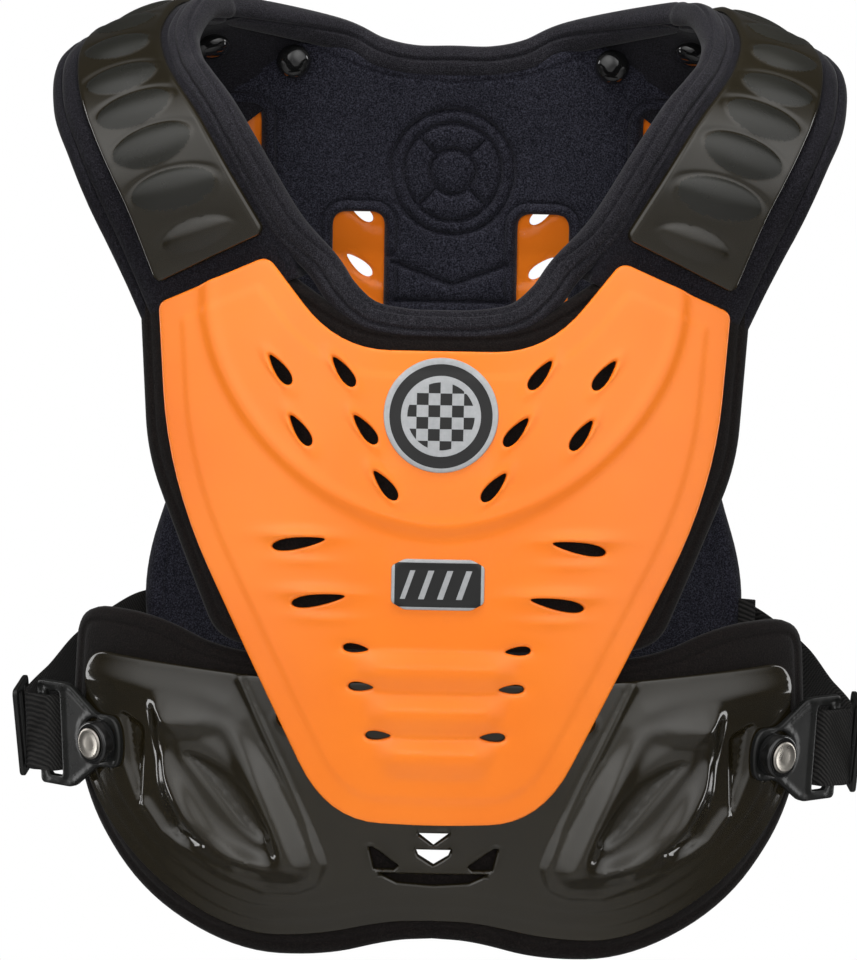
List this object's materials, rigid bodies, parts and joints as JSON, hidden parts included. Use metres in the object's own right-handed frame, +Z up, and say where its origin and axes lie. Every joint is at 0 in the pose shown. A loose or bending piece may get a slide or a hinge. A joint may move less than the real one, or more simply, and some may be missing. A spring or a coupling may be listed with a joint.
{
  "type": "motocross roost deflector",
  "caption": "Chest and back protector: moulded orange shells and smoke-coloured belly plate over black foam liners, ribbed shoulder arches, padded neck band and buckled side straps.",
  "frame": {"origin": "Midway between the shoulder pads' undersides at the top of the arches, where the protector rests on the wearer's shoulders.", "axes": "+Z up, -Y towards the wearer's front, +X towards the wearer's left, the right-hand side of the picture."},
  "size_m": [0.4218, 0.2601, 0.4642],
  "materials": {
    "orange_shell": "glossy moulded plastic",
    "smoke_shell": "very glossy smoke-coloured plastic",
    "liner_fabric": "matt knit over foam",
    "black_plastic": "satin to glossy moulded plastic",
    "snap_metal": "brushed nickel",
    "badge_foil": "satin foil with black print",
    "webbing": "woven elastic webbing"
  },
  "bodies": {
    "root": {"chest_plate": "orange_shell", "back_plate": "orange_shell", "belly_plate": "smoke_shell", "shoulder_cap_right": "smoke_shell", "shoulder_cap_left": "smoke_shell", "chest_liner": "liner_fabric", "belly_liner": "liner_fabric", "back_liner": "liner_fabric", "neck_band": "liner_fabric", "shoulder_pad_right": "liner_fabric", "shoulder_pad_left": "liner_fabric", "round_badge": "badge_foil", "lower_badge": "badge_foil", "strap_bracket_right": "black_plastic", "strap_bracket_left": "black_plastic", "snap_ring_right": "black_plastic", "snap_ring_left": "black_plastic", "snap_cap_right": "snap_metal", "snap_cap_left": "snap_metal", "side_strap_right": "webbing", "side_strap_left": "webbing", "ladder_buckle_right": "black_plastic", "ladder_buckle_left": "black_plastic", "liner_knob_right": "black_plastic", "liner_knob_left": "black_plastic", "pad_knob_right": "black_plastic", "pad_knob_left": "black_plastic", "side_label": "webbing"}
  },
  "joints": []
}
